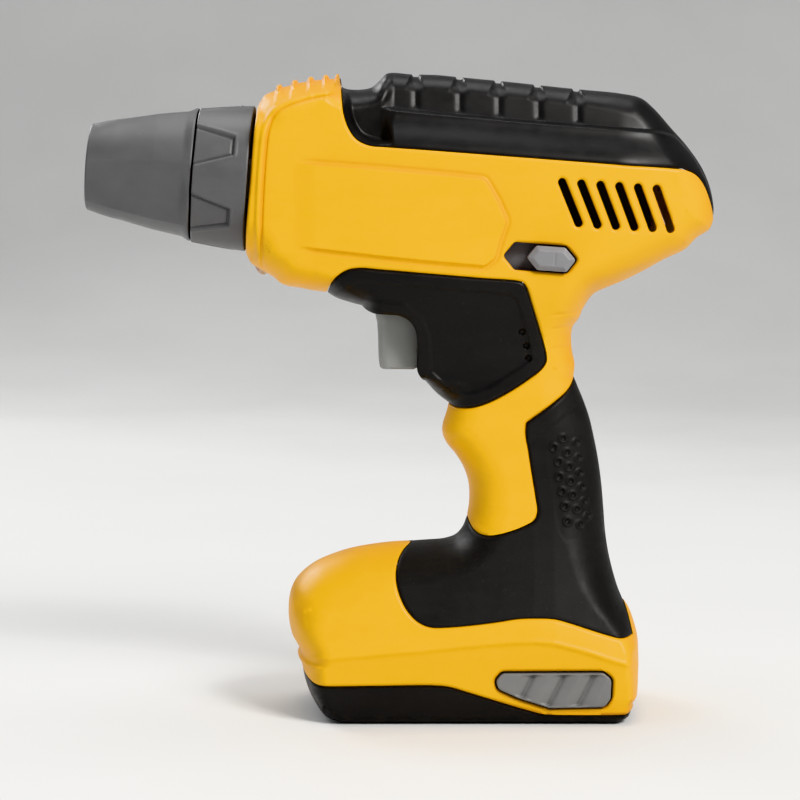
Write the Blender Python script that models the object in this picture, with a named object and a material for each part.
"""Toy power drill: a clamshell body of moulded shells over a motor, a two-stage gear
train, a spinning chuck with a push-in bit socket, a trigger, a slide switch and a battery base.

Run with: blender --background --python part.py

Axes: nose towards -X, up +Z, tool's left side towards -Y. The finished origin is on the
parting plane, level with the flat bottom of the base, halfway along the tool. The shapes
are drawn about a zero under the front of the handle and shifted along X at the end.
Lengths are millimetres unless said; metres() converts them for the meshes.
"""
import math

import bpy
import bmesh
import numpy as np
from mathutils import Matrix
from mathutils.geometry import delaunay_2d_cdt

for old in list(bpy.data.objects):
    bpy.data.objects.remove(old, do_unlink=True)

# ------------------------------------------------------------------ driving dimensions
ORIGIN_X = -18.95      # where the finished origin lies in the drawing
LEFT, RIGHT = -1, 1    # sign of y on each side of the tool
GAP = 0.15             # each piece stands back this far from a shared edge
WALL = 2.0             # shell wall
LEAST_WALL = 0.45
LIP = 0.6              # half width of the flat strip at the parting plane
WELD = 2e-6            # metres; vertices closer than this are merged

TILT = 4.3             # barrel axis above the horizontal, degrees
FACE_X, FACE_Z = -65.152, 168.32    # where the barrel axis meets the housing's front face
BARREL_HALF = 23.2     # half thickness of the barrel
HANDLE_HALF = 15.0     # half thickness of the handle
BASE_HALF = 29.5       # half thickness of the base
BASE_SLOPE = 0.36      # how fast the base's upper sides lean in
FRONT_WALL = 2.2       # thickness of the housing's front wall
FRONT_WALL_STEP = 0.4  # length over which the cavity opens behind it

MODULE = 0.7           # gear module
WHEEL_TEETH, PINION_TEETH = 30, 10
CENTRES = MODULE * (WHEEL_TEETH + PINION_TEETH) / 2
PRESSURE = math.radians(22)
BACKLASH = 0.26
SHAFT_R = 2.5
NOSE_END = -51.6       # chuck nose, measured along the barrel axis from the front face
HEX_FLATS = 13.8       # socket for the bits' shanks, across flats
HEX_DEPTH = 16.5

TRIGGER_HALF = 9.4
SLIDER_TRAVEL = 6.6
VENT_R = 1.15
CELL_R, CELL_L = 7.1, 50.0

BOSS_R = {LEFT: 3.2, RIGHT: 4.4}    # screw boss radius on each side
PILOT_R, PILOT_DEPTH = 1.45, 8.0    # blind hole in a left boss
CLEAR_R = 1.5                       # through hole in a right boss
HEAD_R, SEAT = 2.9, 8.5             # pocket for the screw head, and its floor's distance from y = 0
SCREW_R = 1.15

# ------------------------------------------------------------------ side-view drawing
# Edges where the surface rolls over to the parting plane:
# (x, z, roll radius, share of the width that stays flat: 0 where left out).
TOP = [
    (-63.04, 192.32, 13), (-61.44, 194.56, 12), (-57.28, 196.608, 10), (-50.88, 198.272, 9),
    (-44.48, 199.296, 8), (-37.76, 200.0, 8)]
SPINE = [
    (-37.76, 200.0, 8), (-36.8, 197.12, 7), (-28.48, 196.864, 6), (-25.6, 199.04, 5),
    (-23.04, 201.408, 5), (-7.36, 200.96, 5), (13.12, 199.04, 5), (32.32, 196.992, 5),
    (50.24, 195.2, 5), (56.64, 193.728, 6), (60.48, 190.72, 8), (66.24, 184.32, 9),
    (71.36, 178.56, 10), (75.84, 172.16, 11), (78.592, 165.76, 12), (79.808, 159.36, 12),
    (79.552, 155.52, 12)]
REAR_UNDER = [
    (79.552, 155.52, 12), (78.4, 152.64, 12), (74.24, 149.76, 12), (70.72, 146.24, 13),
    (64.32, 143.168, 13), (57.92, 139.648, 13), (51.52, 136.448, 13), (45.76, 134.08, 12),
    (41.92, 132.096, 12), (39.36, 128.64, 11), (37.44, 124.48, 11), (35.52, 121.6, 11),
    (35.392, 115.2, 12), (36.352, 110.08, 13), (36.032, 106.24, 13)]
GRIP_BACK = [
    (36.032, 106.24, 13), (37.632, 102.4, 13), (39.232, 98.56, 14), (41.024, 93.44, 14),
    (42.432, 87.68, 14), (43.968, 80.0, 14), (45.056, 72.32, 14), (45.76, 64.64, 14),
    (46.4, 56.96, 14), (47.36, 50.56, 13), (48.704, 44.8, 12), (50.432, 39.04, 10),
    (52.032, 35.072, 8)]
BASE_REAR = [
    (52.032, 35.072, 8), (53.824, 32.64, 8), (55.488, 28.48, 7), (56.64, 23.68, 6),
    (56.896, 17.92, 6), (56.832, 10.24, 5), (56.256, 6.72, 4), (54.72, 4.48, 4)]
TRAY_UNDER = [
    (54.72, 4.48, 4, 0.5), (52.48, 1.6, 3, 0.9), (48.96, -0.14976, 3, 1),
    (-37.44, -0.14976, 3, 1), (-42.56, 1.6, 4, 0.9), (-46.4, 5.12, 6, 0.5),
    (-48.96, 9.6, 8, 0.2), (-50.368, 15.04, 9)]
BASE_FRONT = [
    (-50.368, 15.04, 9), (-51.776, 18.176, 10), (-50.88, 20.096, 11), (-53.184, 23.68, 12),
    (-54.336, 28.16, 12), (-54.592, 33.28, 13), (-53.888, 37.76, 14), (-52.416, 40.96, 14),
    (-49.728, 43.968, 14), (-45.76, 46.848, 14), (-40.64, 49.152, 14), (-34.88, 51.008, 14),
    (-27.84, 52.352, 14), (-21.44, 53.12, 13), (-14.72, 53.44, 12)]
THROAT = [
    (-14.72, 53.44, 12), (-9.92, 53.76, 11), (-4.8, 54.208, 10), (-1.28, 55.488, 10),
    (0.832, 57.984, 11), (2.24, 61.76, 12)]
HANDLE_FRONT = [
    (2.24, 61.76, 12), (2.88, 66.56, 13), (2.624, 72.32, 13), (0.96, 77.44, 13),
    (-1.6, 81.6, 13), (-4.416, 85.12, 12), (-5.696, 88.32, 11), (-5.44, 91.52, 10),
    (-4.416, 94.72, 9), (-3.648, 97.792, 8)]
PANEL_CHIN = [(-3.648, 97.792, 8), (-7.36, 100.736, 6), (-11.2, 104.96, 3)]
PANEL_ARM = [
    (-31.04, 128.64, 7), (-34.88, 129.664, 7), (-39.04, 131.072, 7), (-41.92, 132.8, 8)]
CHIN = [
    (-41.92, 132.8, 8), (-46.4, 133.312, 9), (-50.88, 134.208, 9), (-54.08, 134.656, 9),
    (-56.64, 135.68, 10), (-58.88, 137.6, 10), (-62.72, 139.84, 11), (-65.856, 141.952, 12),
    (-67.264, 144.32, 13)]
# The barrel's rolled edges carried on past its cut front face.
AHEAD_TOP = [(-76.48, 193.344, 13), (-63.04, 192.32, 13)]
AHEAD_BOTTOM = [(-67.264, 144.32, 13), (-80.96, 145.344, 13)]

# Edges that pieces share, or that bound an opening: (x, z).
COVER_EDGE = [
    (-37.76, 200.0), (-36.928, 194.56), (-36.16, 188.8), (-34.752, 184.64), (-32.32, 181.248),
    (-28.48, 179.328), (-23.36, 178.816), (-12.48, 178.048), (19.52, 175.616),
    (51.52, 173.184), (64.32, 172.224), (69.44, 171.584), (72.96, 169.856), (75.584, 166.656),
    (77.76, 161.6), (79.552, 155.52)]
GRIP_TOP_EDGE = [
    (36.032, 106.24), (33.856, 103.04), (29.44, 99.328), (24.64, 95.808), (20.48, 92.8)]
GRIP_FRONT_EDGE = [
    (20.48, 92.8), (20.352, 89.6), (21.184, 83.84), (22.4, 76.16), (23.552, 69.12),
    (24.0, 65.28), (23.104, 62.72), (20.16, 60.864), (14.4, 58.752), (8.64, 57.6),
    (5.44, 58.112), (3.52, 59.584), (2.24, 61.76)]
PANEL_EDGE = [
    (-3.648, 97.792), (-0.96, 97.216), (2.88, 97.408), (8.0, 98.88), (14.4, 102.08),
    (20.8, 106.24), (25.28, 109.824), (26.56, 112.256), (26.304, 115.2), (24.32, 122.24),
    (21.76, 130.56), (20.096, 135.552), (18.88, 137.152), (16.96, 137.728), (6.72, 138.496),
    (-12.48, 140.096), (-25.28, 141.184), (-31.68, 141.632), (-35.52, 140.864),
    (-38.72, 138.624), (-40.64, 135.808), (-41.92, 132.8)]
TRIGGER_EDGE = [
    (-11.2, 104.96), (-13.632, 108.928), (-13.632, 117.12), (-14.208, 121.6),
    (-16.064, 124.8), (-18.88, 126.464), (-22.72, 126.912), (-27.2, 127.232),
    (-31.04, 128.64)]
BASE_TOP_EDGE = [
    (52.032, 35.072), (52.928, 31.36), (53.824, 26.88), (49.6, 26.944), (44.48, 28.288),
    (38.72, 30.144), (32.96, 32.0), (28.8, 33.024), (23.36, 33.28), (17.6, 33.088),
    (11.2, 32.128), (3.52, 31.168), (-4.8, 30.464), (-9.28, 30.464), (-13.12, 31.872),
    (-16.576, 35.2), (-18.88, 39.488), (-20.096, 43.84), (-20.032, 47.36),
    (-19.008, 50.368), (-17.216, 52.352), (-14.72, 53.44)]
TRAY_EDGE = [
    (-50.368, 15.04), (-48.576, 13.568), (-45.76, 12.416), (-41.92, 12.16), (-25.28, 12.288),
    (-8.64, 12.416), (-3.52, 11.904), (1.6, 10.368), (13.12, 6.784), (20.8, 4.48),
    (25.28, 3.328), (28.48, 3.072), (48.96, 3.072), (52.16, 3.328), (54.72, 4.48)]

# Lines drawn on the surface: (x, z).
CREASE = [      # the base's sides lean in above this
    (-57.28, 19.2), (-47.68, 20.16), (-25.28, 22.272), (-12.48, 23.296), (0.32, 24.768),
    (13.12, 25.856), (22.72, 26.24), (29.12, 25.6), (38.72, 23.04), (48.32, 19.84),
    (59.2, 16.64)]
CREST = [       # the top cover steps in to its narrow spine above this
    (-22.72, 189.952), (-12.48, 188.864), (19.52, 185.984), (51.52, 183.424), (62.4, 182.592),
    (66.88, 181.248), (72.0, 176.0), (76.48, 168.32), (79.424, 160.64)]

# Openings: (x, z).
SLIDER_SLOT = [     # front tip, upper front, upper rear, rear tip, lower rear, lower front
    (12.864, 145.536), (16.32, 149.632), (32.064, 148.448), (35.648, 144.256),
    (32.32, 140.032), (16.32, 141.248)]
PAD_OPENING = [
    (10.176, 14.08), (12.48, 16.832), (44.224, 17.024), (47.04, 14.72), (46.784, 8.32),
    (44.8, 5.376), (27.52, 4.992), (17.6, 8.192), (11.2, 11.136)]
VENTS = [       # centres of each slot's upper and lower round ends
    ((30.784, 168.064), (35.904, 155.52)), ((36.672, 167.616), (41.728, 155.008)),
    ((42.56, 167.168), (47.424, 154.624)), ((48.384, 166.784), (53.184, 154.24)),
    ((54.208, 166.336), (58.88, 153.856)), ((60.032, 165.888), (64.576, 153.472))]

# Screws that hold the two sides together: (x, z), by the piece they go through.
SCREWS = {
    "housing": [(-55.36, 186.24), (-51.52, 139.84), (70.08, 161.28), (30.72, 117.76),
                (10.56, 65.92)],
    "panel": [(11.84, 129.92)],
    "grip": [(32.32, 92.8), (37.44, 42.24)],
    "base": [(-44.48, 32.0), (50.24, 21.12)],
}


# ------------------------------------------------------------------ materials
def material(name, colour, roughness, metallic=0.0):
    mat = bpy.data.materials.new(name)
    mat.use_nodes = True
    shader = mat.node_tree.nodes["Principled BSDF"]
    shader.inputs["Base Color"].default_value = (*colour, 1)
    shader.inputs["Roughness"].default_value = roughness
    shader.inputs["Metallic"].default_value = metallic
    return mat


YELLOW = material("yellow_plastic", colour=(0.86, 0.52, 0.02), roughness=0.38)
BLACK = material("black_plastic", colour=(0.022, 0.022, 0.024), roughness=0.42)
GREY = material("grey_plastic", colour=(0.16, 0.165, 0.17), roughness=0.45)
LIGHT_GREY = material("light_grey_plastic", colour=(0.30, 0.31, 0.32), roughness=0.4)
STEEL = material("steel", colour=(0.62, 0.62, 0.64), roughness=0.3, metallic=1.0)
BRASS = material("brass", colour=(0.75, 0.55, 0.24), roughness=0.35, metallic=1.0)
WHITE = material("white_plastic", colour=(0.82, 0.82, 0.80), roughness=0.45)
COPPER = material("copper_winding", colour=(0.72, 0.33, 0.16), roughness=0.4, metallic=1.0)
BOARD = material("circuit_board", colour=(0.05, 0.22, 0.10), roughness=0.5)
LENS = material("clear_lens", colour=(0.92, 0.95, 0.97), roughness=0.08)
SLEEVE = material("cell_sleeve", colour=(0.10, 0.18, 0.42), roughness=0.35)
RED = material("red_wire", colour=(0.65, 0.03, 0.03), roughness=0.5)
DARK = material("dark_wire", colour=(0.03, 0.03, 0.03), roughness=0.5)


# ------------------------------------------------------------------ plane geometry
COS, SIN = math.cos(math.radians(TILT)), math.sin(math.radians(TILT))


def metres(*lengths):
    return tuple(length / 1e3 for length in lengths)


def to_barrel(x, z):
    """Distance back from the front face along the barrel axis, and height above the axis."""
    return (x - FACE_X) * COS - (z - FACE_Z) * SIN, (x - FACE_X) * SIN + (z - FACE_Z) * COS


def from_barrel(along, above):
    return FACE_X + along * COS + above * SIN, FACE_Z - along * SIN + above * COS


def smooth(t):
    t = np.clip(t, 0, 1)
    return t * t * (3 - 2 * t)


def circle(centre, radius, count):
    angles = [2 * math.pi * k / count for k in range(count)]
    return [(centre[0] + radius * math.cos(a), centre[1] + radius * math.sin(a)) for a in angles]


def chain(*paths):
    """Joins paths end to end into one closed outline of (x, z)."""
    out = []
    for path in paths:
        for point in path:
            if not out or math.dist(out[-1], point[:2]) > 0.05:
                out.append(point[:2])
    if math.dist(out[0], out[-1]) < 0.05:
        out.pop()
    return out


def area(outline):
    here = np.array(outline)
    after = np.roll(here, -1, 0)
    return 0.5 * float(np.sum(here[:, 0] * after[:, 1] - after[:, 0] * here[:, 1]))


def inset(outline, depth):
    """The closed outline moved inwards by depth."""
    if area(outline) < 0:
        outline = outline[::-1]
    points = np.array(outline)
    edge = np.roll(points, -1, 0) - points
    normal = np.stack([-edge[:, 1], edge[:, 0]], 1) / np.linalg.norm(edge, axis=1)[:, None]
    before = np.roll(normal, 1, 0)
    mitre = (before + normal) / np.maximum(1 + np.sum(before * normal, 1), 0.35)[:, None]
    return [tuple(q) for q in points + depth * mitre]


def nearest(points, starts, ends):
    """For each point: distance to the nearest segment, its number, and how far along it (0-1)."""
    best = np.full(len(points), 1e9)
    number = np.zeros(len(points), int)
    along = np.zeros(len(points))
    for k, (start, end) in enumerate(zip(starts, ends)):
        span = end - start
        t = np.clip(((points - start) @ span) / max(span @ span, 1e-12), 0, 1)
        reach = np.linalg.norm(points - start - t[:, None] * span, axis=1)
        closer = reach < best
        best[closer] = reach[closer]
        number[closer] = k
        along[closer] = t[closer]
    return best, number, along


def distance_to_path(points, path):
    path = np.array(path)
    return nearest(points, path[:-1], path[1:])[0]


def inside(points, loops):
    """Even-odd test of points against closed outlines."""
    hit = np.zeros(len(points), bool)
    x, z = points[:, 0], points[:, 1]
    for loop in loops:
        corners = np.array(loop)
        for a, b in zip(corners, np.roll(corners, -1, 0)):
            if a[1] == b[1]:
                continue
            level = (a[1] > z) != (b[1] > z)
            hit ^= level & (x < (b[0] - a[0]) * (z - a[1]) / (b[1] - a[1]) + a[0])
    return hit


def border_edges(triangles):
    """Edges that belong to one triangle only."""
    count = {}
    for tri in triangles:
        for i in range(3):
            edge = tuple(sorted((int(tri[i]), int(tri[(i + 1) % 3]))))
            count[edge] = count.get(edge, 0) + 1
    return [edge for edge, uses in count.items() if uses == 1]


def grid_points(outline, pitch):
    """Staggered rows of points over the outline's box; none for a zero pitch."""
    out = []
    if pitch:
        corners = np.array(outline)
        low, high = corners.min(0), corners.max(0)
        row = 0
        z = low[1] + pitch / 2
        while z < high[1]:
            x = low[0] + (pitch / 2 if row % 2 else 0)
            while x < high[0]:
                out.append((x, z))
                x += pitch
            z += pitch * 0.866
            row += 1
    return out


def triangulate(loops, lines=(), extra=(), grid=0, clear=0):
    """Triangles that fill the closed loops, with each (line, closed) kept as edges.
    Extra and grid points are used where they stand clear of the edges and of each other."""
    verts, edges = [], []
    for line, closed in [(loop, True) for loop in loops] + list(lines):
        first, count = len(verts), len(line)
        verts += line
        edges += [(first + i, first + (i + 1) % count)
                  for i in range(count if closed else count - 1)]
    candidates = list(extra) + grid_points(loops[0], grid)
    if candidates:
        points = np.array(candidates)
        points = points[inside(points, loops)]
        starts = np.array([verts[i] for i, _ in edges])
        ends = np.array([verts[j] for _, j in edges])
        kept = []
        for p, reach in zip(points, nearest(points, starts, ends)[0]):
            if reach >= clear and all((p[0] - q[0]) ** 2 + (p[1] - q[1]) ** 2
                                      > clear ** 2 * 1.4 for q in kept):
                kept.append((float(p[0]), float(p[1])))
        verts += kept
    result = delaunay_2d_cdt([tuple(v) for v in verts], edges, [], 0, 1e-5)
    points = np.array([tuple(p) for p in result[0]])
    tris = np.array([face for face in result[2] if len(face) == 3])
    tris = tris[inside(points[tris].mean(1), loops)]
    one = points[tris[:, 1]] - points[tris[:, 0]]
    two = points[tris[:, 2]] - points[tris[:, 0]]
    return points, tris[np.abs(one[:, 0] * two[:, 1] - one[:, 1] * two[:, 0]) > 1e-7]


# ------------------------------------------------------------------ surfaces of the body
ROLLED = (AHEAD_TOP, TOP, SPINE, REAR_UNDER, GRIP_BACK, BASE_REAR, TRAY_UNDER, BASE_FRONT, THROAT,
          HANDLE_FRONT, PANEL_CHIN, PANEL_ARM, CHIN, AHEAD_BOTTOM)
# Rolled segments' start and end rows: x, z, roll radius, flat share.
ROLL_START, ROLL_END = (
    np.array([(*row, 0)[:4] for run in ROLLED for row in run[part]], float)
    for part in (slice(None, -1), slice(1, None)))


def nearest_rolled(points):
    """Distance to the rolled edges, with the roll radius and flat share found there."""
    reach, number, along = nearest(points, ROLL_START[:, :2], ROLL_END[:, :2])
    start, end = ROLL_START[number], ROLL_END[number]
    row = start + (end - start) * along[:, None]
    return reach, row[:, 2], row[:, 3]


def roll(depth, radius):
    """0 at the parting plane, 1 where the surface has turned flat: a quarter ellipse."""
    t = np.clip(1 - depth / radius, 0, 1)
    return np.sqrt(1 - t * t)


def body_half(x, z):
    """Half thickness of the body away from its rounded edges."""
    along, _ = to_barrel(x, z)
    # The barrel narrows by 5.5 at its tail and by 0.5 at its front face.
    barrel = BARREL_HALF - 5.5 * smooth((along - 100) / 48) - 0.5 * smooth((8 - along) / 8)
    # The handle widens into the barrel from z = 106, over a height of 34.
    upper = HANDLE_HALF + (barrel - HANDLE_HALF) * smooth((z - 106) / 34)
    # The base leans in above its crease, eased over `ease`, and barely below it.
    over = z - np.interp(x, *np.array(CREASE).T)
    ease = 1.2
    lean = np.where(over > 0, over - ease * (1 - np.exp(-np.maximum(over, 0) / ease)), 0)
    base = BASE_HALF - BASE_SLOPE * lean - 0.03 * np.maximum(-over, 0)
    blend = 2.5     # softness of the join between handle and base
    return np.logaddexp(upper / blend, base / blend) * blend


def cover_half(x, z):
    """Half thickness of the top cover: a leaning band, a ledge, then the narrow spine."""
    reach = distance_to_path(np.stack([x, z], 1), COVER_EDGE)
    above_crest = z - np.interp(x, *np.array(CREST).T)
    along, _ = to_barrel(x, z)
    tail = 1 - 0.45 * smooth((along - 112) / 34)
    band = 22.4 - 5.4 * smooth(reach / 10.5) - 0.12 * reach
    spine = 12.6 - 0.33 * np.maximum(above_crest, 0)
    ledge = np.clip(above_crest / 0.8, 0, 1)
    stepped = band + (np.minimum(spine, band) - band) * ledge
    # Ahead of the crest's front end the cover is a single low surface.
    dip = 15.5 - 0.15 * reach
    start = smooth((x - CREST[0][0] + 1.5) / 3.0)
    return (dip + (stepped - dip) * start) * tail


# ------------------------------------------------------------------ objects
def finish(name, bm, mat, parent=None, matrix=None):
    """Welds the mesh, turns its faces outwards and makes it an object."""
    bmesh.ops.remove_doubles(bm, verts=bm.verts, dist=WELD)
    bmesh.ops.recalc_face_normals(bm, faces=bm.faces)
    if bm.calc_volume(signed=True) < 0:
        bmesh.ops.reverse_faces(bm, faces=bm.faces)
    mesh = bpy.data.meshes.new(name)
    bm.to_mesh(mesh)
    bm.free()
    obj = bpy.data.objects.new(name, mesh)
    bpy.context.scene.collection.objects.link(obj)
    mesh.materials.append(mat)
    mesh.shade_smooth()
    mesh.set_sharp_from_angle(angle=math.radians(35))
    if parent is not None:
        obj.parent = parent
    if matrix is not None:
        obj.matrix_local = matrix
    return obj


def cutter(name, bm, matrix=None):
    """Helper solid for a boolean modifier."""
    obj = finish(name, bm, STEEL, matrix=matrix)
    obj.hide_render = True
    obj.display_type = "WIRE"
    return obj


def cut(obj, tool, operation="DIFFERENCE"):
    modifier = obj.modifiers.new("cut", "BOOLEAN")
    modifier.operation = operation
    modifier.solver = "EXACT"
    modifier.object = tool


def empty(name, location, pitch=0.0, parent=None):
    """An empty at a place in mm, its local X tipped down by pitch degrees."""
    obj = bpy.data.objects.new(name, None)
    obj.empty_display_size = 0.01
    bpy.context.scene.collection.objects.link(obj)
    obj.location = metres(*location)
    obj.rotation_euler = (0, math.radians(pitch), 0)
    if parent is not None:
        obj.parent = parent
    return obj


def hang(obj, frame):
    """Hangs a mesh drawn in world coordinates on an empty without moving it."""
    bpy.context.view_layer.update()
    obj.data.transform(frame.matrix_world.inverted())
    obj.parent = frame


# ------------------------------------------------------------------ solids
def box_bm(low, high):
    bm = bmesh.new()
    bmesh.ops.create_cube(bm, size=1.0)
    for vert in bm.verts:
        vert.co = metres(*[(a + b) / 2 + c * (b - a) for a, b, c in zip(low, high, vert.co)])
    return bm


def lathe_bm(profile, count, closed=False, turn=0.0):
    """Solid of revolution about local X. Profile points are (x, radius); a profile that starts
    and ends on the axis makes a solid, and a closed one makes a ring."""
    bm = bmesh.new()
    angles = [turn + 2 * math.pi * k / count for k in range(count)]
    rings = []
    for x, radius in profile:
        spokes = angles if radius > 1e-9 else [0.0]
        rings.append([bm.verts.new(metres(x, radius * math.cos(a), radius * math.sin(a)))
                      for a in spokes])
    pairs = list(zip(rings, rings[1:])) + ([(rings[-1], rings[0])] if closed else [])
    for a, b in pairs:
        for k in range(count):
            j = (k + 1) % count
            if len(a) == 1 and len(b) == 1:
                continue
            if len(a) == 1:
                bm.faces.new((a[0], b[k], b[j]))
            elif len(b) == 1:
                bm.faces.new((a[k], a[j], b[0]))
            else:
                bm.faces.new((a[k], a[j], b[j], b[k]))
    return bm


def rod_bm(start, end, radius, count):
    return lathe_bm([(start, 0), (start, radius), (end, radius), (end, 0)], count)


def tube_bm(start, end, inner, outer, count):
    profile = [(start, inner), (start, outer), (end, outer), (end, inner)]
    return lathe_bm(profile, count, closed=True)


def slab_bm(points_a, points_b, tris):
    """Closed solid between two copies of a flat triangulation, given as (x, y, z) points."""
    bm = bmesh.new()
    a, b = ([bm.verts.new(metres(*p)) for p in points] for points in (points_a, points_b))
    for tri in tris:
        bm.faces.new([a[i] for i in tri])
        bm.faces.new([b[i] for i in tri[::-1]])
    for i, j in border_edges(tris):
        bm.faces.new((a[i], a[j], b[j], b[i]))
    return bm


def prism_bm(outline, holes, start, end):
    """A plate with holes: outline points are local (y, z), the plate runs along X."""
    points, tris = triangulate([outline, *holes])
    return slab_bm([(start, *p) for p in points], [(end, *p) for p in points], tris)


def ring_about(centre, radius, across, up, count):
    """Points of a circle in the plane of two unit vectors."""
    angles = [2 * math.pi * k / count for k in range(count)]
    return [centre + radius * (across * math.cos(a) + up * math.sin(a)) for a in angles]


def skin_bm(rings):
    """A capped tube through rings of points."""
    bm = bmesh.new()
    rings = [[bm.verts.new(metres(*p)) for p in ring] for ring in rings]
    for a, b in zip(rings, rings[1:]):
        for j in range(len(a)):
            k = (j + 1) % len(a)
            bm.faces.new((a[j], a[k], b[k], b[j]))
    bm.faces.new(rings[0][::-1])
    bm.faces.new(rings[-1])
    return bm


def wire_bm(points, radius=0.7):
    """A five-sided wire along a Catmull-Rom curve through the points."""
    p = np.array(points, float)
    p = np.vstack([2 * p[0] - p[1], p, 2 * p[-1] - p[-2]])
    path = []
    for a, b, c, d in zip(p, p[1:], p[2:], p[3:]):
        for t in (0, 0.5):
            path.append(0.5 * (2 * b + (c - a) * t + (2 * a - 5 * b + 4 * c - d) * t * t
                               + (3 * b - a - 3 * c + d) * t ** 3))
    path.append(p[-2])
    rings = []
    across = np.array([0.31, 0.9, 0.3])     # carried along the wire so the rings don't twist
    for k, centre in enumerate(path):
        tangent = path[min(k + 1, len(path) - 1)] - path[max(k - 1, 0)]
        tangent /= np.linalg.norm(tangent)
        across = across - tangent * (across @ tangent)
        across /= np.linalg.norm(across)
        rings.append(ring_about(centre, radius, across, np.cross(tangent, across), 5))
    return skin_bm(rings)


def coil_bm(length, coil_r, wire_r, turns, per_turn):
    """A four-sided wire wound along local X, with capped ends."""
    steps = int(turns * per_turn)
    rise = (length - 2 * wire_r) / steps
    rings = []
    for k in range(steps + 1):
        angle = 2 * math.pi * k / per_turn
        outward = np.array([0, math.cos(angle), math.sin(angle)])
        centre = coil_r * outward + np.array([wire_r + rise * k, 0, 0])
        tangent = np.array([rise * per_turn / (2 * math.pi),
                            -coil_r * math.sin(angle), coil_r * math.cos(angle)])
        tangent /= np.linalg.norm(tangent)
        rings.append(ring_about(centre, wire_r, outward, np.cross(tangent, outward), 4))
    return skin_bm(rings)


def merged(parts):
    """Several separate closed solids in one mesh."""
    out = bmesh.new()
    for bm in parts:
        mesh = bpy.data.meshes.new("part")
        bm.to_mesh(mesh)
        bm.free()
        out.from_mesh(mesh)
        bpy.data.meshes.remove(mesh)
    return out


def moved(bm, offset, rotation=None):
    if rotation is not None:
        bmesh.ops.transform(bm, matrix=rotation, verts=bm.verts)
    bmesh.ops.translate(bm, vec=metres(*offset), verts=bm.verts)
    return bm


def pillow(name, outline, half, mat, side=0, inner=0.0, lines=(), extra=(), clear=1.5):
    """A solid drawn in the side view: across y = 0, or from `inner` out to `half` on one side."""
    points, tris = triangulate([outline], [(line, True) for line in lines], extra, clear=clear)
    outer = half(points[:, 0], points[:, 1])
    low = np.full(len(points), inner) if side else -outer
    sign = side or 1
    sheets = [[(p[0], sign * h, p[1]) for p, h in zip(points, heights)]
              for heights in (outer, low)]
    return finish(name, slab_bm(*sheets, tris), mat)


def flanged(name, flange, raised, heights, mat, side):
    """A flat flange with a raised island; heights are the flange's inner and outer faces and
    the island's top, as distances from y = 0."""
    inner, low, high = heights

    def half(x, z):
        return np.where(inside(np.stack([x, z], 1), [inset(raised, 0.1)]), high, low)

    return pillow(name, flange, half, mat, side, inner, lines=[raised, inset(raised, 0.25)])


# ------------------------------------------------------------------ moulded shells
def two_sheet_bm(points, tris, outer, inner, side, joined):
    """Closed solid between the heights outer and inner over a flat triangulation.
    Joined makes both sides one solid across y = 0."""
    bm = bmesh.new()
    border = border_edges(tris)
    for sign in ((LEFT, RIGHT) if joined else (side,)):
        out, low = ([bm.verts.new(metres(p[0], sign * h, p[1])) for p, h in zip(points, heights)]
                    for heights in (outer, inner))
        for tri in tris:
            bm.faces.new([out[i] for i in tri])
            if not (joined and all(inner[i] <= 1e-9 for i in tri)):
                bm.faces.new([low[i] for i in tri[::-1]])
        for i, j in border:
            bm.faces.new((out[i], out[j], low[j]))
            bm.faces.new((out[i], low[j], low[i]))
    loose = [vert for vert in bm.verts if not vert.link_faces]
    bmesh.ops.delete(bm, geom=loose, context="VERTS")
    bmesh.ops.remove_doubles(bm, verts=bm.verts, dist=WELD)
    bmesh.ops.dissolve_degenerate(bm, edges=bm.edges, dist=1e-7)
    return bm


def merge_groups(groups):
    """Joins, in place, groups that share a raised vertex."""
    again = True
    while again:
        again = False
        for a in range(len(groups)):
            for b in range(a + 1, len(groups)):
                if groups[a]["high"] & groups[b]["high"]:
                    groups[a]["high"] |= groups[b]["high"]
                    groups[a]["rim"] |= groups[b]["rim"]
                    del groups[b]
                    again = True
                    break
            if again:
                break


def close_up(tris, inner):
    """Lowers the inner heights of a joined solid where its two sides would only touch along
    a line or at a point."""
    fan, rim = {}, {}
    for number, tri in enumerate(tris):
        for i in tri:
            fan.setdefault(int(i), []).append(number)
    for i, j in border_edges(tris):
        rim.setdefault(i, []).append(j)
        rim.setdefault(j, []).append(i)
    changed = True
    while changed:
        changed = False
        for i, around in fan.items():
            if inner[i] > 1e-9:
                continue
            groups = [{"high": {int(j) for j in tris[n] if inner[j] > 1e-9}, "rim": False}
                      for n in around]
            groups = [group for group in groups if group["high"]]
            if i in rim:
                groups.append({"high": {j for j in rim[i] if inner[j] > 1e-9}, "rim": True})
            merge_groups(groups)
            if len(groups) > 1:
                small = min((g for g in groups if not g["rim"]), key=lambda g: len(g["high"]))
                for j in small["high"]:
                    inner[j] = 0.0
                changed = True
    return inner


def ring_points(depths, spacing):
    """Points stepped off both sides of the rolled edges, about `spacing` apart along them, less
    those that another rolled edge comes too near."""
    out = []
    for start, end in zip(ROLL_START[:, :2], ROLL_END[:, :2]):
        span = end - start
        length = np.linalg.norm(span)
        normal = np.array([-span[1], span[0]]) / length
        steps = max(1, int(round(length / spacing)))
        for k in range(steps + 1):
            on_edge = start + span * k / steps
            out += [on_edge + sign * normal * depth for depth in depths for sign in (1, -1)]
    reach, _, _ = nearest_rolled(np.array(out))
    return [tuple(p) for p, r in zip(out, reach)
            if any(abs(r - depth) < 0.12 * depth for depth in depths)]


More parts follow.
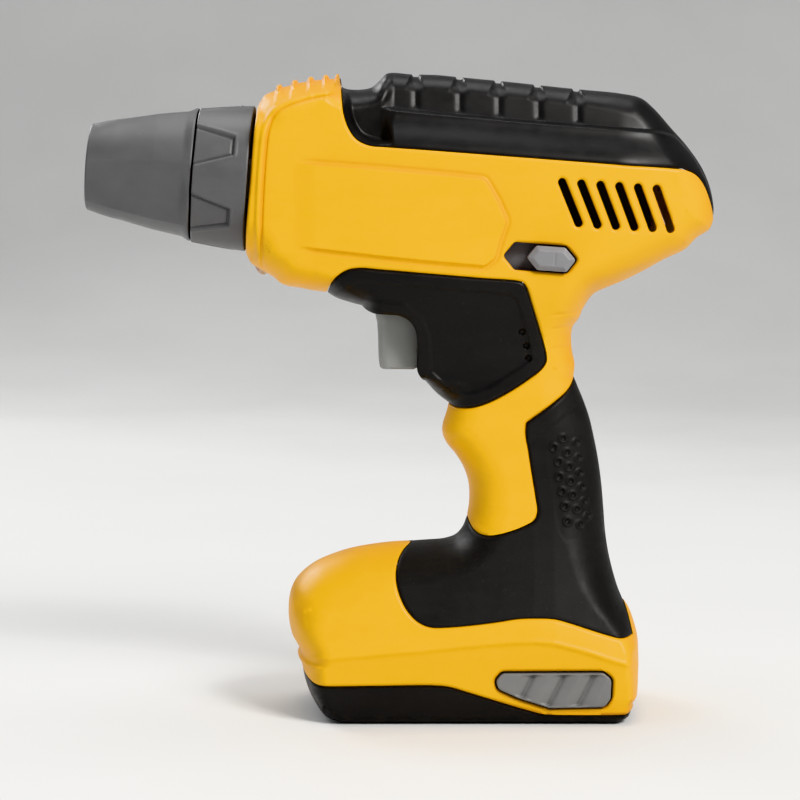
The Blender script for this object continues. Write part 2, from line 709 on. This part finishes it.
def boss_lines(centre, side):
    """Circles each side of every step in a screw boss."""
    boss = BOSS_R[side]
    if side == LEFT:
        rings = ((boss + 0.4, 6), (boss, 6), (PILOT_R + 0.3, 6), (PILOT_R, 6))
    else:
        rings = ((boss + 0.4, 6), (boss, 6), (HEAD_R + 0.25, 8), (HEAD_R, 8))
    return [(circle(centre, radius, count), True) for radius, count in rings]


def shell(name, outline, mat, half, side=LEFT, holes=(), bosses=(), lines=(), joined=False,
          front_wall=False, slot=None, wall=WALL, raised=0.0, depths=(1.1, 4.6), grid=13.0,
          clear=2.4, step=5.0):
    """A moulded shell: its outline seen from the side, the outer surface `half` moved out by
    `raised`, and a wall behind it. Depths, grid, clear and step place the mesh points."""
    loops = [inset(outline, GAP)] + [inset(hole, -GAP) for hole in holes]
    kept = []
    for centre in bosses:
        kept += boss_lines(centre, side)
        if side == RIGHT:
            loops.append(circle(centre, CLEAR_R, 8))
    kept += [(line, False) for line in lines]
    boss = BOSS_R[side]
    rings = [p for p in ring_points(depths, step)
             if all(math.dist(p, centre) > boss + 2.0 for centre in bosses)]
    points, tris = triangulate(loops, kept, rings, grid, clear)
    x, z = points[:, 0], points[:, 1]

    # Outer and inner heights, both rolling over to the parting plane.
    reach, radius, flat = nearest_rolled(points)
    depth = reach - GAP
    full = half(x, z) + raised
    lip = (0.0 if joined else LIP) + flat * np.maximum(full - radius, 0)
    outer = lip + (full - lip) * roll(np.maximum(depth, 0), radius)
    room = np.maximum(full - wall, 0)
    inner = flat * np.maximum(room - radius, 0)
    inner = inner + (room - inner) * roll(np.maximum(depth - wall, 0), radius)
    floor = 0.0 if joined else GAP
    inner = np.where(depth <= wall + 1e-6, floor, np.maximum(inner, floor))

    if slot is not None:    # a wall beside the trigger, along the slot's edge
        near = distance_to_path(points, slot)
        lowest = TRIGGER_HALF + 0.8
        opening = np.clip((near - 2.0) / 0.4, 0, 1)
        inner = np.where(inner > lowest, lowest + (inner - lowest) * opening, inner)
        outer = np.maximum(outer, np.where(near < 0.5, lowest + 1.5, 0))
    if front_wall:
        along, _ = to_barrel(x, z)
        opening = np.clip((along - FRONT_WALL) / FRONT_WALL_STEP, 0, 1)
        inner = floor + (inner - floor) * opening
    for centre in bosses:
        rho = np.hypot(x - centre[0], z - centre[1])
        inner = floor + (inner - floor) * np.clip((rho - boss) / 0.35, 0, 1)
        if side == LEFT:    # pilot hole from the parting plane
            rise = np.clip((rho - PILOT_R - 0.01) / 0.25, 0, 1)
            pilot = PILOT_DEPTH + (floor - PILOT_DEPTH) * rise
            inner = np.where(rho < boss - 0.1, pilot, inner)
        else:               # pocket for the screw head from outside
            rise = np.clip((rho - HEAD_R - 0.01) / 0.2, 0, 1)
            outer = np.where(rho < boss - 0.1, SEAT + (outer - SEAT) * rise, outer)
    inner = np.maximum(np.minimum(inner, outer - LEAST_WALL), floor)
    if joined:
        inner = close_up(tris, np.where(inner < 0.3, 0.0, inner))
    return finish(name, two_sheet_bm(points, tris, outer, inner, side, joined), mat)


def vent_hole(top, foot):
    """A slot with round ends of four points each."""
    slope = math.atan2(foot[1] - top[1], foot[0] - top[0])
    out = []
    for centre, start in ((foot, slope - math.pi / 2), (top, slope + math.pi / 2)):
        for k in range(4):
            angle = start + math.pi * k / 3
            out.append((centre[0] + VENT_R * math.cos(angle), centre[1] + VENT_R * math.sin(angle)))
    return out


def build_side_shells(side, word):
    """Housing, trigger panel, grip and base of one side. Only the left has the slider's slot."""
    housing = chain(TOP, COVER_EDGE, REAR_UNDER, GRIP_TOP_EDGE, GRIP_FRONT_EDGE, HANDLE_FRONT,
                    PANEL_EDGE, CHIN)
    panel = chain(PANEL_EDGE[::-1], PANEL_CHIN, TRIGGER_EDGE, PANEL_ARM)
    grip = chain(GRIP_BACK, BASE_TOP_EDGE, THROAT, GRIP_FRONT_EDGE[::-1], GRIP_TOP_EDGE[::-1])
    base = chain(BASE_FRONT, BASE_TOP_EDGE[::-1], BASE_REAR, TRAY_EDGE[::-1])
    holes = [vent_hole(*ends) for ends in VENTS] + ([SLIDER_SLOT] if side == LEFT else [])
    wall_lines = [[from_barrel(along, above) for above in (30, 12, 0, -12, -30)]
                  for along in (FRONT_WALL + 1e-3, FRONT_WALL + FRONT_WALL_STEP)]
    shell(f"housing_{word}", housing, YELLOW, body_half, side, holes=holes,
          bosses=SCREWS["housing"], lines=wall_lines, front_wall=True)
    shell(f"trigger_panel_{word}", panel, BLACK, body_half, side, bosses=SCREWS["panel"],
          slot=TRIGGER_EDGE, raised=-0.3, grid=12)
    shell(f"grip_{word}", grip, BLACK, body_half, side, bosses=SCREWS["grip"])
    shell(f"base_{word}", base, YELLOW, body_half, side, holes=[PAD_OPENING],
          bosses=SCREWS["base"])


def build_top_cover():
    ledge = [CREST[:-1], [(x, z + 0.9) for x, z in CREST[:-2]]]
    shell("top_cover", chain(SPINE, COVER_EDGE[::-1]), BLACK, cover_half, joined=True,
          depths=(1.0, 3.6), grid=10, lines=ledge, clear=1.8)


def build_base_tray():
    tray = shell("base_tray", chain(TRAY_UNDER, TRAY_EDGE), BLACK, body_half, joined=True,
                 depths=(1.0, 1.85, 2.3, 4.8), raised=-0.8, grid=14, wall=1.6, clear=0.5,
                 step=9.0)
    return tray


def cut_housings(tool):
    for word in ("left", "right"):
        cut(bpy.data.objects[f"housing_{word}"], tool)


# ------------------------------------------------------------------ drive train
# Profiles are (distance back from the front face, radius).
BUSHING = [(-7, 2.8), (-7, 6.2), (2.9, 6.2), (2.9, 9), (4.8, 9), (4.8, 6.2), (8, 6.2), (8, 2.8)]
OUTPUT_SHAFT = [(-31, 0), (-31, SHAFT_R - 0.4), (-30.4, SHAFT_R), (19.2, SHAFT_R),
                (19.8, SHAFT_R - 0.4), (19.8, 0)]
NOSE = [(NOSE_END, 0), (NOSE_END, 12.6), (-50.8, 13.7), (-43.3, 16.0), (-30.5, 18.9),
        (-18.2, 20.9), (-18.2, 18.5), (-32.8, 15.6), (-33.4, 6), (-18.6, 6), (-18.6, 2.8),
        (-31.4, 2.8), (-31.4, 0)]
COLLAR = [(-17.8, 19.7), (-17.8, 21.7), (-0.8, 22.8), (-0.8, 20.7), (-3.4, 20.7), (-3.4, 6.6),
          (-6, 6.6), (-6, 19.9)]
MOTOR_SHAFT = [(22, 0), (22, 1), (35, 1), (35, 6.8), (54.5, 6.8), (54.5, 2.2), (57.6, 2.2),
               (57.6, 1), (61.4, 1), (61.4, 0)]
MOTOR_CAN = [(31.6, 1.4), (31.6, 3.2), (32.8, 3.4), (32.8, 11.0), (33.6, 11.8), (58, 11.8),
             (58, 10.9), (34, 10.9), (34, 1.4)]
MOTOR_ENDCAP = [(63.2, 0), (63.2, 5), (61, 5), (61, 11.6), (58.3, 11.6), (58.3, 1.4),
                (61.8, 1.4), (61.8, 0)]
# Gearbox plate seen along the barrel: (y, z).
PLATE = [(-15.5, -19.4), (-13.6, -21.2), (13.6, -21.2), (15.5, -19.4), (15.5, 8.2), (13.6, 10),
         (-13.6, 10), (-15.5, 8.2)]
LARGE_END = (21.6, 27.3)    # layshaft gear's large teeth, along the barrel
SMALL_END = (12.3, 21.8)    # and its small ones
TOOTH_UP = math.pi / 2      # phase that points a tooth straight up
PINION_HALF_PITCH = math.pi / PINION_TEETH


def gear_outline(teeth, phase):
    """Involute gear outline in local (y, z); a tooth is centred on the angle `phase`."""
    large = teeth > 15
    pitch = MODULE * teeth / 2
    base = pitch * math.cos(PRESSURE)
    tip = pitch + MODULE * (0.78 if large else 0.95)
    root = pitch - MODULE * 1.25
    half = math.pi / (2 * teeth) - BACKLASH / (2 * pitch)
    foot = base if base > root + 0.2 else root

    def involute(angle):
        return math.tan(angle) - angle

    def half_angle(radius):
        return half + involute(PRESSURE) - involute(math.acos(min(1, base / radius)))

    flank = [(root, half_angle(foot))] if foot > root else []
    flank += [(radius, half_angle(radius)) for radius in ([foot, tip] if large
                                                          else [foot, pitch, tip])]
    out = []
    for k in range(teeth):
        middle = phase + 2 * math.pi * k / teeth
        corners = [(r, middle - a) for r, a in flank] + [(r, middle + a) for r, a in flank[::-1]]
        out += [(r * math.cos(a), r * math.sin(a)) for r, a in corners]
    return out


def build_chuck(barrel):
    finish("front_bushing", lathe_bm(BUSHING, 16, closed=True), WHITE, barrel)
    finish("output_shaft", lathe_bm(OUTPUT_SHAFT, 12), STEEL, barrel)
    finish("shaft_clip", tube_bm(-9.4, -8.6, SHAFT_R + 0.2, 4.4, 12), STEEL, barrel)
    nose = finish("chuck_nose", lathe_bm(NOSE, 24), GREY, barrel)
    corner = HEX_FLATS / math.sqrt(3)
    start, end = NOSE_END - 3, NOSE_END + HEX_DEPTH
    socket = lathe_bm([(start, 0), (start, corner), (end, corner), (end, 0)], 6, turn=math.pi / 6)
    cut(nose, cutter("cut_hex", socket, barrel.matrix_basis))
    finish("chuck_collar", lathe_bm(COLLAR, 24, closed=True), GREY, barrel)


def build_gearbox(barrel):
    """Two plates across the barrel, with four posts on the front one."""
    pin_hole = circle((0, -CENTRES), 1.65, 10)
    front = finish("gearbox_front", prism_bm(PLATE, [circle((0, 0), 2.8, 12), pin_hole], 9.3, 11.3),
                   WHITE, barrel)
    finish("gearbox_rear", prism_bm(PLATE, [circle((0, 0), 4.8, 12), pin_hole], 29.2, 31.2),
           WHITE, barrel)
    posts = merged([moved(rod_bm(10, 29, 2, 8), (0, y, z))
                    for z in (7.4, -18.5) for y in (12.8, -12.8)])
    cut(front, cutter("cut_posts", posts, barrel.matrix_basis), "UNION")


def build_gears(barrel, layshaft):
    """The motor pinion drives the layshaft gear's large end; its small end drives the
    output gear."""
    finish("output_gear", prism_bm(gear_outline(WHEEL_TEETH, TOOTH_UP),
                                   [circle((0, 0), SHAFT_R + 0.15, 12)], 12.5, 18.5),
           WHITE, barrel)
    sleeve = finish("layshaft_gear", tube_bm(SMALL_END[0], LARGE_END[1], 1.8, 2.7, 12),
                    WHITE, layshaft)
    for name, teeth, phase, ends in (
            ("cut_wheel", WHEEL_TEETH, TOOTH_UP, LARGE_END),
            ("cut_small", PINION_TEETH, TOOTH_UP + PINION_HALF_PITCH, SMALL_END)):
        toothed = prism_bm(gear_outline(teeth, phase), [circle((0, 0), 2.2, 12)], *ends)
        matrix = barrel.matrix_basis @ layshaft.matrix_basis
        cut(sleeve, cutter(name, toothed, matrix), "UNION")
    finish("layshaft_pin", rod_bm(9.6, 30.9, 1.5, 10), STEEL, layshaft)
    finish("motor_pinion", prism_bm(gear_outline(PINION_TEETH, -TOOTH_UP + PINION_HALF_PITCH),
                                    [circle((0, 0), 1.15, 8)], 21.8, 27.3), BRASS, barrel)


def build_motor(barrel):
    finish("motor_shaft", lathe_bm(MOTOR_SHAFT, 12), COPPER, barrel)
    finish("motor_can", lathe_bm(MOTOR_CAN, 20, closed=True), STEEL, barrel)
    finish("motor_endcap", lathe_bm(MOTOR_ENDCAP, 16), WHITE, barrel)


# ------------------------------------------------------------------ trigger, switches, lamp
# Trigger outline and the points that round its front face: (x, z).
TRIGGER = [
    (-27.2, 128.896), (-26.432, 125.76), (-25.92, 122.24), (-25.728, 116.48),
    (-25.408, 112.32), (-24.64, 109.056), (-14.72, 109.056), (-12.736, 110.72),
    (-12.544, 112.64), (-4.416, 112.64), (-4.416, 122.88), (-12.544, 122.88),
    (-12.736, 128.512)]
TRIGGER_ROUNDING = [
    (-24.896, 128.0), (-23.872, 122.24), (-23.616, 116.48), (-22.72, 110.4), (-22.08, 127.68),
    (-20.48, 116.48), (-20.16, 110.208)]
TRIGGER_FACE = [TRIGGER[5], TRIGGER[3], TRIGGER[0]]     # bottom, middle and top of the front
STEM_X = -12.64             # behind this the trigger is a narrow stem
STEM_END = (-4.416, 117.76)  # middle of the stem's rear end
SLIDER_FLANGE = [
    (11.2, 150.656), (38.72, 148.48), (40.32, 147.2), (40.0, 144.256), (34.88, 140.672),
    (31.04, 139.008), (14.4, 140.288), (11.2, 142.72)]
SLIDER_CENTRE = (25.728, 144.384)
LED_CENTRE = (-62.656, 140.288)     # lens centre
LED_SLOPE = 38                      # its axis runs up and back into the body, degrees


def trigger_half(x, z):
    face_x, face_z = np.array(TRIGGER_FACE).T
    front = np.interp(z, face_z, face_x)
    edge = 3.2      # how far the sides are rounded back at the front
    rounded = (TRIGGER_HALF - edge) + edge * roll(np.maximum(x - front, 0), 3.4)
    return np.where(x > STEM_X, 5.0, rounded)


def build_trigger():
    frame = empty("trigger_frame", (STEM_END[0], 0, STEM_END[1]), TILT)
    hang(pillow("trigger", TRIGGER, trigger_half, LIGHT_GREY, extra=TRIGGER_ROUNDING, clear=0.9),
         frame)
    spring = coil_bm(7.4, coil_r=3.3, wire_r=0.4, turns=4, per_turn=8)
    finish("trigger_spring", moved(spring, (0.25, 0, 0)), STEEL, frame)
    switch = finish("trigger_switch", box_bm((8.0, -5.6, -4.4), (20.0, 5.6, 4.4)), DARK, frame)
    cut(switch, cutter("cut_plunger", rod_bm(5.6, 10, 1.3, 8), frame.matrix_basis), "UNION")


def build_slider():
    """Direction slider at the rear of its slot: the slot's outline less the travel in front."""
    tip, upper_front, upper_rear, rear, lower_rear, lower_front = SLIDER_SLOT

    def back(point):
        return point[0] + SLIDER_TRAVEL * COS, point[1] - SLIDER_TRAVEL * SIN

    knob = inset([back(tip), back(upper_front), upper_rear, rear, lower_rear, back(lower_front)],
                 0.35)
    frame = empty("slider_frame", (SLIDER_CENTRE[0], -22, SLIDER_CENTRE[1]), TILT)
    hang(flanged("direction_slider", SLIDER_FLANGE, knob, (16.8, 18.2, 25.8), LIGHT_GREY, LEFT),
         frame)
    finish("reversing_switch", box_bm((-7, 7.6, -3.4), (7, 13.6, 3.4)), DARK, frame)


def build_lamp(led):
    lens = [(-1.6, 0), (-1.2, 1.3), (-0.2, 2.1), (1.0, 2.4), (4.3, 2.4), (4.3, 0)]
    finish("led_lens", lathe_bm(lens, 12), LENS, led)
    finish("led_board", box_bm((4.6, -4.4, -3.0), (5.8, 4.4, 3.0)), BOARD, led)


# ------------------------------------------------------------------ battery base
PAD_CENTRE = (29.76, 10.88)
DOOR_FRONT, DOOR_REAR, DOOR_HALF = -23.2, 43.0, 22.6    # opening in the tray
DOOR_GAP = 0.3
DOOR_SCREW_X = 38.8
BAY_FRONT, BAY_REAR, BAY_HALF = -25.0, 35.0, 23.0
BAY_BOTTOM, BAY_TOP = 5.5, 21.5
BAY_MIDDLE = (BAY_FRONT + BAY_REAR) / 2
CELL_Z = 12.2
CELL_PITCH = 14.4
UP = Matrix.Rotation(math.radians(-90), 4, "Y")     # turns local X up to +Z
CELL_START = -27.6
CELL_END = CELL_START + CELL_L
CELL_PROFILE = [(CELL_START, 0), (CELL_START, 2.7), (-26.6, 2.7), (-26.6, CELL_R - 0.5),
                (-26.1, CELL_R), (CELL_END - 0.6, CELL_R), (CELL_END, CELL_R - 0.6),
                (CELL_END, 0)]
# Contact strips: name, x from the bay's middle, y from, y to, (coil's x from the middle, y).
CONTACTS = [
    ("contact_front_single", -28.4, -19.0, -10.0, None),
    ("contact_front_pair", -28.4, -4.6, 19.0, (-28.05, 0.0)),
    ("contact_rear_pair", 27.9, -19.0, 4.6, (22.75, -CELL_PITCH)),
    ("contact_rear_single", 27.9, 10.0, 19.0, (22.75, CELL_PITCH))]


def build_pads():
    # The flange is cut off along the bottom, where the base's wall curves in.
    flange = [(x, max(z, 5.3)) for x, z in inset(PAD_OPENING, -1.0)]
    body = inset(PAD_OPENING, 0.35)
    for side, word in ((LEFT, "left"), (RIGHT, "right")):
        frame = empty(f"pad_frame_{word}", (PAD_CENTRE[0], side * 27, PAD_CENTRE[1]))
        hang(flanged(f"side_pad_{word}", flange, body, (24.4, 25.6, 30.1), GREY, side), frame)


def build_bay():
    """Battery box open below, with a block behind it for the door's screw."""
    bay = finish("battery_bay", box_bm((BAY_FRONT, -BAY_HALF, BAY_BOTTOM),
                                       (BAY_REAR, BAY_HALF, BAY_TOP)), BLACK)
    block = box_bm((BAY_REAR - 1, -4.5, BAY_BOTTOM), (43.2, 4.5, 13))
    cut(bay, cutter("cut_block", block), "UNION")
    side_wall, end_wall, roof = 1.2, 1.3, 1.4
    room = box_bm((BAY_FRONT + end_wall, -BAY_HALF + side_wall, 0),
                  (BAY_REAR - end_wall, BAY_HALF - side_wall, BAY_TOP - roof))
    cut(bay, cutter("cut_room", room))
    pilot = moved(rod_bm(0, 11, 1.3, 8), (DOOR_SCREW_X, 0, 0), UP)
    cut(bay, cutter("cut_pilot", pilot))


def build_door():
    door = finish("battery_door", box_bm((DOOR_FRONT + DOOR_GAP, -DOOR_HALF + DOOR_GAP, 0.3),
                                         (DOOR_REAR - DOOR_GAP, DOOR_HALF - DOOR_GAP, 2.1)),
                  BLACK)
    hole = lathe_bm([(0, 0), (0, 3.1), (1.2, 3.1), (1.2, 1.5), (4, 1.5), (4, 0)], 10)
    cut(door, cutter("cut_door_hole", moved(hole, (DOOR_SCREW_X, 0, -0.1), UP)))
    screw = lathe_bm([(0, 0), (0, 2.7), (0.75, 2.7), (0.75, SCREW_R), (8.5, SCREW_R), (9.5, 0)], 10)
    finish("door_screw", moved(screw, (DOOR_SCREW_X, 0, 0.2), UP), STEEL)


def build_cells():
    """Three cells side by side; the middle one's button points to the rear."""
    for k, turn in enumerate((0, math.pi, 0)):
        cell = finish(f"aa_cell_{k + 1}", lathe_bm(CELL_PROFILE, 12), SLEEVE)
        cell.location = metres(BAY_MIDDLE, (k - 1) * CELL_PITCH, CELL_Z)
        cell.rotation_euler = (0, 0, turn)


def build_contacts():
    """Strips at the cells' ends, with a coil at each cell's flat end."""
    for name, x, y_from, y_to, coil in CONTACTS:
        x += BAY_MIDDLE
        strip = finish(name, box_bm((x, y_from, 6.4), (x + 0.5, y_to, 18.0)), BRASS)
        if coil:
            winding = coil_bm(5.3, coil_r=3.0, wire_r=0.35, turns=2.5, per_turn=6)
            moved(winding, (BAY_MIDDLE + coil[0], coil[1], CELL_Z))
            cut(strip, cutter(f"cut_coil_{name}", winding), "UNION")


# ------------------------------------------------------------------ wiring and screws
# Name, material, points (x, y, z).
WIRES = [
    ("wire_battery_red", RED, [(24, -2.2, 21.9), (24.5, -2.2, 45), (22.5, -2.2, 68),
                               (20.5, -2.2, 92), (14.2, -2.2, 105), (12.2, -2.2, 110.9)]),
    ("wire_battery_black", DARK, [(27, 2.2, 21.9), (27.5, 2.2, 45), (25.5, 2.2, 68),
                                  (23.5, 2.2, 92), (17.2, 2.2, 104), (15.4, 2.2, 110.6)]),
    ("wire_switch", RED, [(14.6, -3, 121.5), (19.6, -6, 129), (20.6, -10.5, 140.6)]),
    ("wire_motor", DARK, [(25, -10.5, 148.9), (17, -9, 155), (4, -6, 161.5), (-0.2, -5, 162.0)])]


def build_wires():
    for name, mat, points in WIRES:
        finish(name, wire_bm(points), mat)


def build_screws():
    """Pan-head screws driven in from the right side, towards -Y."""
    length = 2 + SEAT + 7.4
    profile = [(0, 0), (0, 1.9), (0.7, 2.5), (1.7, 2.5), (1.7, SCREW_R), (length - 1, SCREW_R),
               (length, 0)]
    for piece, places in SCREWS.items():
        for k, (x, z) in enumerate(places):
            name = f"{piece}_screw" + (f"_{k + 1}" if len(places) > 1 else "")
            screw = finish(name, lathe_bm(profile, 8), STEEL)
            screw.location = metres(x, SEAT + 1.9, z)
            screw.rotation_euler = (0, 0, math.radians(-90))


# ------------------------------------------------------------------ assembly
def main():
    barrel = empty("barrel_frame", (FACE_X, 0, FACE_Z), TILT)   # local X runs back along it
    layshaft = empty("layshaft_frame", (0, 0, -CENTRES), parent=barrel)
    led = empty("led_frame", (LED_CENTRE[0], 0, LED_CENTRE[1]), -LED_SLOPE)

    build_side_shells(LEFT, "left")
    build_side_shells(RIGHT, "right")
    build_top_cover()
    tray = build_base_tray()
    # Openings that run across the parting plane.
    cut_housings(cutter("cut_bore", rod_bm(-3, 6, 6.6, 16), barrel.matrix_basis))
    cut_housings(cutter("cut_led", rod_bm(-5, 5, 2.75, 12), led.matrix_basis))
    doorway = box_bm((DOOR_FRONT, -DOOR_HALF, -2), (DOOR_REAR, DOOR_HALF, 5))
    cut(tray, cutter("cut_door", doorway))

    build_chuck(barrel)
    build_gearbox(barrel)
    build_gears(barrel, layshaft)
    build_motor(barrel)

    build_trigger()
    build_slider()
    build_lamp(led)

    build_pads()
    build_bay()
    build_door()
    build_cells()
    build_contacts()

    build_wires()
    build_screws()

    # Shift from the drawing's zero to the middle of the tool's length.
    for obj in bpy.data.objects:
        if obj.parent is None:
            obj.location.x -= ORIGIN_X / 1e3


main()
